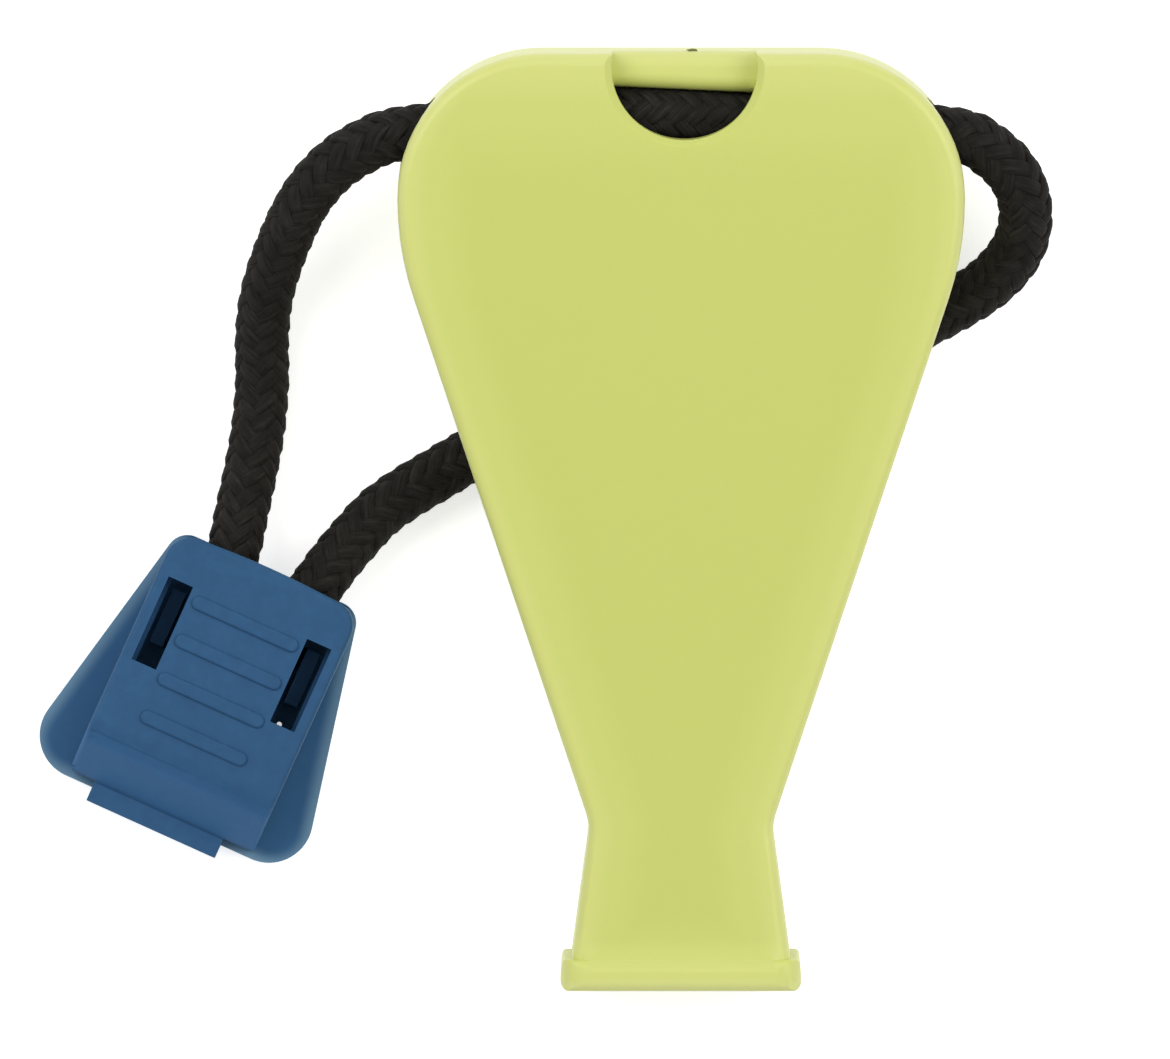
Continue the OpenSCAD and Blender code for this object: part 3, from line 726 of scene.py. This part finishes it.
def sharpTop(y):
    return min(lidForm["top"], lidForm["top"] - lidForm["slope"] * (lidForm["y"] - y))


def lidTop(y):
    # height of the lid's upper face, with the crease rounded
    if lidForm["from"] < y < lidForm["to"]:
        radius = lidForm["radius"]
        return lidForm["top"] - radius + math.sqrt(radius ** 2 - (lidForm["to"] - y) ** 2)
    return sharpTop(y)


def onRim(place):
    past = abs(place.x) > lidForm["rimSide"] or place.y > lidForm["rimEnd"]
    return past and place.y > lidForm["rimLow"] and abs(place.z - lidTop(place.y)) < 0.03


def softenLid(work):
    # the crease at the sloping end is well rounded, the outer rim and the ribs a little
    turn = math.radians(film["turn"])
    for k in range(lidForm["cuts"]):
        y = lidForm["to"] - lidForm["radius"] * math.sin(math.radians(4 * k + 0.2))
        bmesh.ops.bisect_plane(work, geom=work.faces[:] + work.edges[:] + work.verts[:], dist=1e-8,
                               plane_co=clipPlace(0, y, 0), plane_no=(math.sin(turn), math.cos(turn), 0))
    for vert in work.verts:
        place = clipLocal(vert.co)
        if lidForm["from"] < place.y < lidForm["to"] and abs(place.z - sharpTop(place.y)) < 0.03:
            vert.co = clipPlace(place.x, place.y, lidTop(place.y))
    places = {vert: clipLocal(vert.co) for vert in work.verts}
    sharp = [e for e in work.edges if len(e.link_faces) == 2 and e.calc_face_angle(0) > 0.5]
    rim = [e for e in sharp if all(onRim(places[v]) for v in e.verts)]
    ribs = [e for e in sharp if all(abs(places[v].z - lidForm["ribTop"]) < 0.02 for v in e.verts)]
    print("lid edges softened:", len(rim), len(ribs))
    for edges, width, segments in [(rim, "rimEdge", 4), (ribs, "ribEdge", 3)]:
        bmesh.ops.bevel(work, geom=[e for e in edges if e.is_valid], offset=lidForm[width] * mm,
                        segments=segments, affect="EDGES", clamp_overlap=False, profile=0.5)


pinHole = {"at": (5.45, 11.35), "seenAt": (5.38, 11.15), "reach": 0.32, "share": 0.67}   # mm


def narrowPinHole(work):
    # the pin hole in the base is drawn up to 0.4 mm across, half under the window's edge
    for vert in work.verts:
        place = clipLocal(vert.co)
        away = Vector((place.x - pinHole["at"][0], place.y - pinHole["at"][1]))
        if away.length < pinHole["reach"]:
            x, y = (pinHole["seenAt"][i] + away[i] * pinHole["share"] for i in (0, 1))
            vert.co = clipPlace(x, y, place.z)


gateStub = {
    "at": (0.85, 70.49, 4.6),      # mm on the whistle
    "half": (0.42, 0.13, 0.5),
    "tones": ("#3E4020", "#8A8C4A"),
}


def makeGateMark():
    # the torn stub of the moulding gate, on the top edge beside the middle
    # ABS scorched at the gate: dull dark olive
    material, tree = newMaterial("charredGateStub")
    dark, pale = (linearOf(colour) for colour in gateStub["tones"])
    coords = addNode(tree, "ShaderNodeTexCoord")
    spots = addNode(tree, "ShaderNodeTexNoise", None,
                    {"Vector": (coords, "Object"), "Scale": perMetre(0.1667), "Detail": 3.0})
    tone = addNode(tree, "ShaderNodeMix", {"data_type": "RGBA"}, {0: spots, 6: dark, 7: pale})
    stub = addNode(tree, "ShaderNodeBsdfPrincipled", None, {"Base Color": (tone, 2), "Roughness": 0.8})
    addNode(tree, "ShaderNodeOutputMaterial", None, {"Surface": stub})
    work = bmesh.new()
    bmesh.ops.create_icosphere(work, subdivisions=3, radius=1.0)
    for vert in work.verts:
        x, y, z = vert.co
        rough = 1 + 0.16 * math.sin(5 * x + 1) * math.cos(4 * z) + 0.1 * math.sin(9 * y + 3 * x)
        vert.co = fromWhistle(*(at + half * rough * part
                                for at, half, part in zip(gateStub["at"], gateStub["half"], (x, y, z))))
    mesh = bpy.data.meshes.new("gateStub")
    work.to_mesh(mesh)
    work.free()
    mesh.materials.append(material)
    mesh.shade_smooth()
    piece = addObject("gateStub", mesh)
    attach(piece, "whistle")
    return piece


dressing = {
    "merge": 0.000002,     # m
    "flat": 0.5,           # degrees, under which two faces are one
    "sharp": 34,           # degrees, over which an edge is broken
    "corners": 8,          # a face with more is cut into triangles where no edge is broken
}


def cleanCopy(node, name, edge, change):
    mesh = bpy.data.meshes.new(name)
    work = bmesh.new()
    work.from_mesh(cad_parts[node].data)
    bmesh.ops.remove_doubles(work, verts=work.verts, dist=dressing["merge"])
    bmesh.ops.dissolve_limit(work, angle_limit=math.radians(dressing["flat"]),
                             verts=work.verts, edges=work.edges)
    if not edge:
        bmesh.ops.triangulate(work, faces=[f for f in work.faces if len(f.verts) > dressing["corners"]])
    change(work)
    work.to_mesh(mesh)
    work.free()
    if "custom_normal" in mesh.attributes:
        mesh.attributes.remove(mesh.attributes["custom_normal"])
    return mesh


def dressNode(node, name, body, material, change, edge=0, segments=2):
    # a merged copy of the CAD mesh with its sharp edges broken by edge mm, or as moulded where edge is 0
    mesh = cleanCopy(node, name, edge, change)
    mesh.materials.clear()
    mesh.materials.append(material)
    mesh.shade_smooth()
    mesh.set_sharp_from_angle(angle=math.radians(dressing["sharp"]))
    draft = addObject(name, mesh)
    if edge:
        broken = draft.modifiers.new("edges", "BEVEL")
        broken.width = edge * mm
        broken.segments = segments
        broken.limit_method = "ANGLE"
        broken.angle_limit = math.radians(dressing["sharp"])
        broken.miter_outer = "MITER_ARC"
        broken.use_clamp_overlap = True
        broken.harden_normals = False
    weighted = draft.modifiers.new("normals", "WEIGHTED_NORMAL")
    weighted.mode = "FACE_AREA"
    weighted.weight = 50
    weighted.keep_sharp = True
    final = plainMesh(draft, name)
    bpy.data.objects.remove(draft)
    bpy.data.meshes.remove(mesh)
    final.name = name
    piece = addObject(name, final)
    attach(piece, body)
    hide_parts(node)
    print(name, len(final.polygons), "faces")
    return piece


def makeFilm(material):
    # a closed strip, waisted at mid height where it bends
    left, right = (film["middle"] + side * film["width"] / 2 for side in (-1, 1))
    verts = []
    for k in range(film["steps"] + 1):
        share = k / film["steps"]
        z = film["low"] + share * (film["high"] - film["low"])
        near = film["waist"] * math.sin(math.pi * share)
        far = film["thickness"] - near * 0.5
        verts += [clipPlace(x, y, z) for x, y in [(left, near), (right, near), (right, far), (left, far)]]
    faces = [(3, 2, 1, 0)]
    for k in range(film["steps"]):
        for i in range(4):
            a, b = 4 * k + i, 4 * k + (i + 1) % 4
            faces.append((a, b, b + 4, a + 4))
    last = 4 * film["steps"]
    faces.append((last, last + 1, last + 2, last + 3))
    mesh = bpy.data.meshes.new("hingeFilm")
    mesh.from_pydata(verts, [], faces)
    mesh.materials.append(material)
    mesh.shade_smooth()
    mesh.set_sharp_from_angle(angle=math.radians(40))
    piece = addObject("hingeFilm", mesh)
    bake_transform(piece)
    return piece


lime = makeWhistleMaterial()
blue = makeClipMaterial()
front = dressNode("whistle_front", "frontShell", "whistle", lime, rampBead)
back = dressNode("whistle_back", "backShell", "whistle", lime, rampBead)
base = dressNode("clip_base", "clipBase", "whistle", blue, narrowPinHole, edge=0.3, segments=3)
lid = dressNode("clip_lid", "clipLid", "lid", blue, softenLid, edge=0.15, segments=3)
hinge = makeFilm(blue)
makeGateMark()
print("shells dressed")
